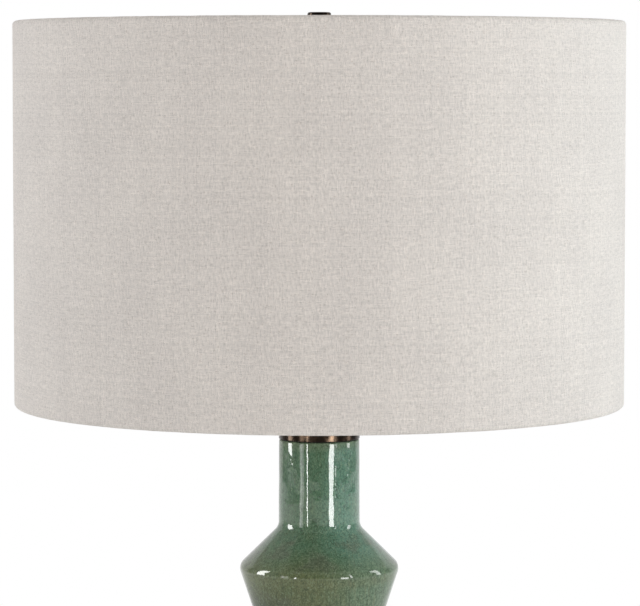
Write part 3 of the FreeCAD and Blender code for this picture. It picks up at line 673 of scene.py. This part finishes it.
# the liner: a styrene strip, lapped at the back
liner_profile = [(RI - 0.02, ZB + 2.0), (RI - 0.02, ZT - 2.0), (RL, ZT - 2.0)] + [(RL, ZT - 2.0 - (ZT - ZB - 4.0) * t / 8) for t in range(1, 8)] + [(RL, ZB + 2.0)]


def liner_radial(theta, k, r, z):
    if k < 2:
        return 0.0
    d = abs(abs(theta) - math.pi) * SHADE_R
    t = min(1.0, max(0.0, (9.0 - d) / 0.4))
    return -0.7 * t


liner_angles = sorted([math.radians(-180 + 360 * k / 360) for k in range(360)] + [s * (math.pi - w / SHADE_R) for s in (-1, 1) for w in (8.6, 9.0)])
liner = revolve("liner_sheet", liner_profile, liner_angles, liner_radial, sharp=40)
liner.data.materials.append(M["styrene"])
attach(liner, "shade")
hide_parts("shade_liner")

# ---------------------------------------------------------------------------
# the glazed body: slip-cast, so its walls carry a trace of unevenness
# ---------------------------------------------------------------------------
outer_pts = [(FOOT_R, FOOT_Z), (LOWER_R, LOWER_Z), (WAIST_R, WAIST_Z), UPPER, NECK_BASE, NECK_TOP]
radii = [3.0, 10.0, 12.0, 7.0, 8.0, 1.2]


def offset_profile(points, d):
    out, segs = [], []
    for a, b in zip(points[:-1], points[1:]):
        dx, dz = b[0] - a[0], b[1] - a[1]
        k = math.hypot(dx, dz)
        nx, nz = -dz / k, dx / k
        segs.append(((a[0] + nx * d, a[1] + nz * d), (b[0] + nx * d, b[1] + nz * d)))
    out.append(segs[0][0])
    for (a, b), (c, e) in zip(segs[:-1], segs[1:]):
        den = (b[0] - a[0]) * (e[1] - c[1]) - (b[1] - a[1]) * (e[0] - c[0])
        t = ((c[0] - a[0]) * (e[1] - c[1]) - (c[1] - a[1]) * (e[0] - c[0])) / den
        out.append((a[0] + t * (b[0] - a[0]), a[1] + t * (b[1] - a[1])))
    out.append(segs[-1][1])
    return out


inn = offset_profile(outer_pts, WALL)
f_in = (inn[0][0] + (FOOT_Z + FLOOR_T - inn[0][1]) * TAPER, FOOT_Z + FLOOR_T)
body_pts = [(FLOOR_HOLE_R, FOOT_Z, 1.0)] + [(p[0], p[1], r) for p, r in zip(outer_pts, radii)]
body_pts += [(MOUTH_R, NECK_TOP[1], 1.0), (MOUTH_R, NECK_TOP[1] - 12.0, 1.5), (inn[4][0], NECK_TOP[1] - 14.0, 0),
             (inn[4][0], inn[4][1], radii[4] + WALL), (inn[3][0], inn[3][1], 1.5), (inn[2][0], inn[2][1], radii[2] + WALL),
             (inn[1][0], inn[1][1], radii[1] - WALL), (f_in[0], f_in[1], 4.0), (FLOOR_HOLE_R, FOOT_Z + FLOOR_T, 1.0)]
body_profile = fillet_line(body_pts, closed=True, step=4.0, along=4.5)
# index range of the outer wall, which is the part that shows
top_k = max(range(len(body_profile)), key=lambda k: (round(body_profile[k][1], 3), body_profile[k][0]))


def body_radial(theta, k, r, z):
    if k > top_k or z < FOOT_Z + 3.0 or z > NECK_TOP[1] - 1.6:
        return 0.0
    fade = min(1.0, (z - FOOT_Z - 3.0) / 12.0, (NECK_TOP[1] - 1.6 - z) / 5.0)
    x, y = math.sin(theta) * r / 30.0, math.cos(theta) * r / 30.0
    return fade * (0.16 * mnoise.noise(Vector((x, y, z / 38.0))) + 0.035 * mnoise.noise(Vector((x * 4.0, y * 4.0, z / 9.0))))


body = revolve("glazed_body", body_profile, [math.radians(-180 + k) for k in range(360)], body_radial, sharp=60)
body.data.materials.append(M["glaze"])
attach(body, "base")
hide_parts("ceramic_body")

# ---------------------------------------------------------------------------
# felt under the pan
# ---------------------------------------------------------------------------
FELT_R = 67.0
felt_profile = [(0.0, 0.0)] + [(FELT_R * t, 0.0) for t in (0.3, 0.6, 0.9)] + [(FELT_R - 0.5, 0.0), (FELT_R - 0.12, 0.2), (FELT_R, 0.7), (FELT_R, 1.3), (FELT_R - 0.15, 1.85), (FELT_R - 0.6, 2.0), (FELT_R * 0.5, 2.0), (0.0, 2.0)]


def felt_radial(theta, k, r, z):
    if r < FELT_R - 1.0:
        return 0.0
    x, y = math.sin(theta) * 60.0, math.cos(theta) * 60.0
    return 0.25 * mnoise.noise(Vector((x, y, z * 1.5))) + 0.2 * mnoise.noise(Vector((x * 0.1, y * 0.1, 4.0))) - 0.2


felt = revolve("felt_disc", felt_profile, [math.radians(-180 + 360 * k / 480) for k in range(480)], felt_radial, sharp=60)
felt.data.materials.append(M["felt"])
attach(felt, "base")
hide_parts("felt_pad")

# ---------------------------------------------------------------------------
# floor, light and camera
# ---------------------------------------------------------------------------
FLOOR_EDGE = 2.9


def make_floor():
    me = bpy.data.meshes.new("floor")
    rings = [0.0, 0.3, 0.8, 1.5, 2.2, FLOOR_EDGE]
    n = 96
    vs, fs = [(0.0, 0.0, 0.0)], []
    for r in rings[1:]:
        vs += [(r * math.cos(2 * math.pi * k / n), r * math.sin(2 * math.pi * k / n), 0.0) for k in range(n)]
    for k in range(n):
        fs.append((0, 1 + k, 1 + (k + 1) % n))
    for j in range(len(rings) - 2):
        a, b = 1 + j * n, 1 + (j + 1) * n
        for k in range(n):
            m = (k + 1) % n
            fs.append((a + k, b + k, b + m, a + m))
    me.from_pydata(vs, [], fs)
    o = bpy.data.objects.new("floor", me)
    scene.collection.objects.link(o)
    g = Mat("pale_floor")
    x, y, z = g.xyz()
    d = g.math("SQRT", x * x + y * y)
    fine = g.noise(g.vec(x, y, z), 0.05, 4.0, 0.6)
    g.set(color=g.mix(fine, (0.80, 0.80, 0.79), (0.84, 0.84, 0.83)), rough=0.75, spec=0.3)
    emit = g.node("ShaderNodeEmission")
    emit.inputs[0].default_value = (1, 1, 1, 1)
    emit.inputs[1].default_value = 1.0
    mixer = g.node("ShaderNodeMixShader")
    g.put(mixer.inputs[0], g.smooth(d, 480.0, 1300.0))
    g.t.links.new(g.b.outputs[0], mixer.inputs[1])
    g.t.links.new(emit.outputs[0], mixer.inputs[2])
    g.t.links.new(mixer.outputs[0], g.out.inputs[0])
    me.materials.append(g.m)
    return o


make_floor()

world = bpy.data.worlds.new("studio")
scene.world = world
world.use_nodes = True
wt = world.node_tree
wt.nodes.clear()
w_out = wt.nodes.new("ShaderNodeOutputWorld")
w_lp = wt.nodes.new("ShaderNodeLightPath")


def w_background(colour, strength):
    n = wt.nodes.new("ShaderNodeBackground")
    n.inputs[0].default_value = (*colour, 1)
    n.inputs[1].default_value = strength
    return n.outputs[0]


def w_mix(factor, a, b):
    n = wt.nodes.new("ShaderNodeMixShader")
    wt.links.new(factor, n.inputs[0])
    wt.links.new(a, n.inputs[1])
    wt.links.new(b, n.inputs[2])
    return n.outputs[0]


def w_math(op, a, b=None):
    n = wt.nodes.new("ShaderNodeMath")
    n.operation = op
    for i, v in enumerate((a, b)):
        if v is None:
            continue
        if isinstance(v, float):
            n.inputs[i].default_value = v
        else:
            wt.links.new(v, n.inputs[i])
    return n.outputs[0]


# a white backdrop behind the lamp, from 127 degrees round on either side
w_tc = wt.nodes.new("ShaderNodeTexCoord")
w_sp = wt.nodes.new("ShaderNodeSeparateXYZ")
wt.links.new(w_tc.outputs["Generated"], w_sp.inputs[0])
flat = w_math("SQRT", w_math("ADD", w_math("MULTIPLY", w_sp.outputs[0], w_sp.outputs[0]), w_math("MULTIPLY", w_sp.outputs[1], w_sp.outputs[1])))
w_ratio = w_math("DIVIDE", w_sp.outputs[1], w_math("MAXIMUM", flat, 0.001))
w_map = wt.nodes.new("ShaderNodeMapRange")
wt.links.new(w_ratio, w_map.inputs[0])
w_map.inputs[1].default_value = 0.57
w_map.inputs[2].default_value = 0.63
AMBIENT = 0.51
soft_env = w_mix(w_map.outputs[0], w_background((1.0, 0.993, 0.982), AMBIENT), w_background((1.0, 1.0, 1.0), 0.85))
mirror_env = w_mix(w_map.outputs[0], w_background((1.0, 1.0, 1.0), 0.14), w_background((1.0, 1.0, 1.0), 0.80))
seen_env = w_mix(w_lp.outputs["Is Glossy Ray"], soft_env, mirror_env)
wt.links.new(w_mix(w_lp.outputs["Is Camera Ray"], seen_env, w_background((1.0, 1.0, 1.0), 1.0)), w_out.inputs[0])


def area(name, azimuth, distance, z0, z1, width, power, colour=(1, 1, 1), diffuse=True, glossy=True):
    """Upright softbox round the lamp. Azimuth 0 is in front of it and 90 to its right; power is its radiance."""
    a = math.radians(azimuth)
    d = bpy.data.lights.new(name, "AREA")
    d.shape = "RECTANGLE"
    d.size, d.size_y = width, z1 - z0
    # a flat emitter's radiance is its power over pi and its area
    d.energy = power * math.pi * width * (z1 - z0)
    d.color = colour
    o = bpy.data.objects.new(name, d)
    scene.collection.objects.link(o)
    o.location = (distance * math.sin(a), -distance * math.cos(a), (z0 + z1) / 2)
    o.rotation_euler = (math.radians(90), 0, a)
    o.visible_camera = False
    o.visible_diffuse = diffuse
    o.visible_glossy = glossy
    return o


# light on the cloth and the glaze's own colour
area("soft_right", 90, 1.50, -0.15, 1.45, 0.90, 1.80, (0.78, 0.93, 1.0), glossy=False)
area("soft_left", -94, 1.50, -0.15, 1.45, 0.90, 1.18, (0.86, 0.93, 1.0), glossy=False)
area("soft_front_right", 42, 1.66, -0.5, 1.1, 0.70, 2.08, (0.98, 0.99, 1.0), glossy=False)
area("soft_front_left", -39, 1.66, 0.2, 1.6, 0.70, 0.33, (1.0, 1.0, 1.0), glossy=False)
# what the glaze and the metal mirror
area("box_right", 92, 1.40, 0.200, 1.30, 0.26, 7.5, diffuse=False)
area("box_left", -91, 1.40, 0.196, 1.30, 0.36, 15.0, diffuse=False)
area("strip_right", 35.5, 1.60, 0.01, 0.33, 0.37, 17.0, diffuse=False)
area("strip_left", -34, 1.60, 0.01, 0.33, 0.075, 22.0, diffuse=False)
area("band_left", -51, 1.60, 0.01, 0.60, 0.36, 2.7, diffuse=False)
area("band_core", -53, 1.62, 0.01, 0.60, 0.14, 2.0, diffuse=False)
area("spot_right", 48, 1.60, 0.170, 1.2, 0.08, 10.0, diffuse=False)

cam_d = bpy.data.cameras.new("camera")
cam_d.sensor_width = 36.0
cam_d.lens = 3291.9 * 36.0 / 640.0
cam_d.clip_start, cam_d.clip_end = 0.05, 60.0
cam = bpy.data.objects.new("camera", cam_d)
scene.collection.objects.link(cam)
cam.location = (0.0005, -2.195, (SHADE_Z1 - 41.95) * MM)
cam.rotation_euler = (math.radians(90 - 3.795), 0, 0)
scene.camera = cam
scene.view_settings.view_transform = "Standard"
scene.view_settings.look = "None"
